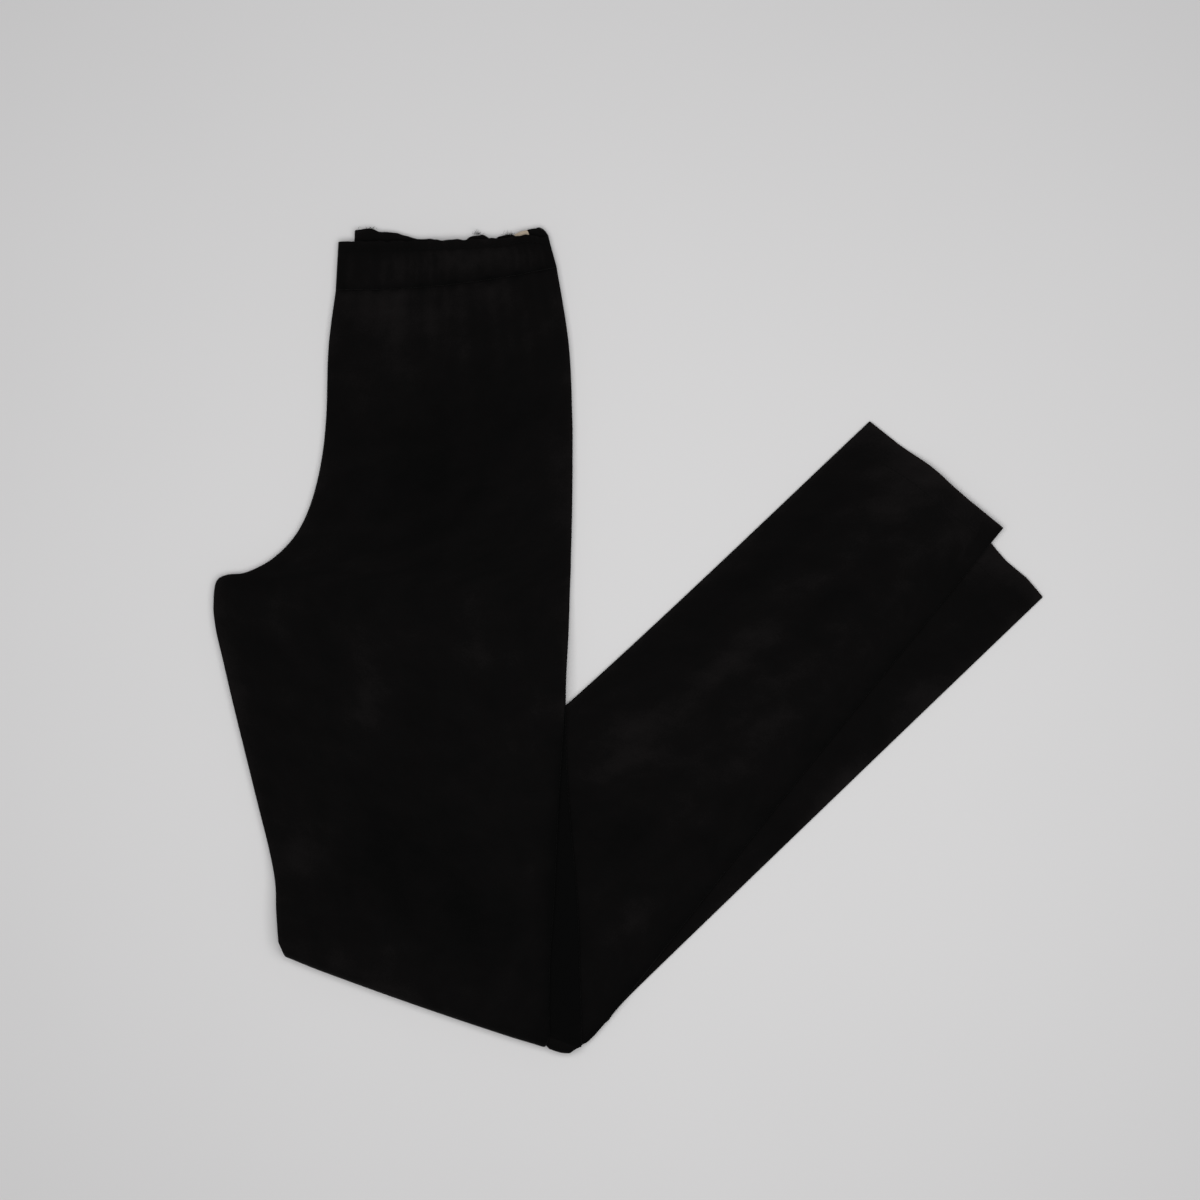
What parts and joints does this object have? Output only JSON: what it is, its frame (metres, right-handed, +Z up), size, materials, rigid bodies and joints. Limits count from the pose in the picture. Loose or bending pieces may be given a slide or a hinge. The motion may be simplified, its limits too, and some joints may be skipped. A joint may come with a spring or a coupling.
{
  "type": "suede skinny trousers",
  "caption": "Black suede skinny trousers with an elasticated waistband, folded flat in half lengthwise and folded under at the knee.",
  "frame": {"origin": "middle of the bounding box's footprint, on the surface that the trousers lie on", "axes": "+Z up from the surface, +Y from the knee fold towards the waistband, +X towards the hems"},
  "size_m": [0.5531, 0.5507, 0.0168],
  "materials": {
    "suede": "black napped suede, fully matt with a soft rim of light along the edges",
    "label_tape": "blank beige woven tape"
  },
  "bodies": {
    "root": {"leg_top_front": "suede", "leg_top_back": "suede", "leg_under_back": "suede", "leg_under_front": "suede", "waistband_front": "suede", "waistband_back": "suede", "label": "label_tape"}
  },
  "joints": []
}
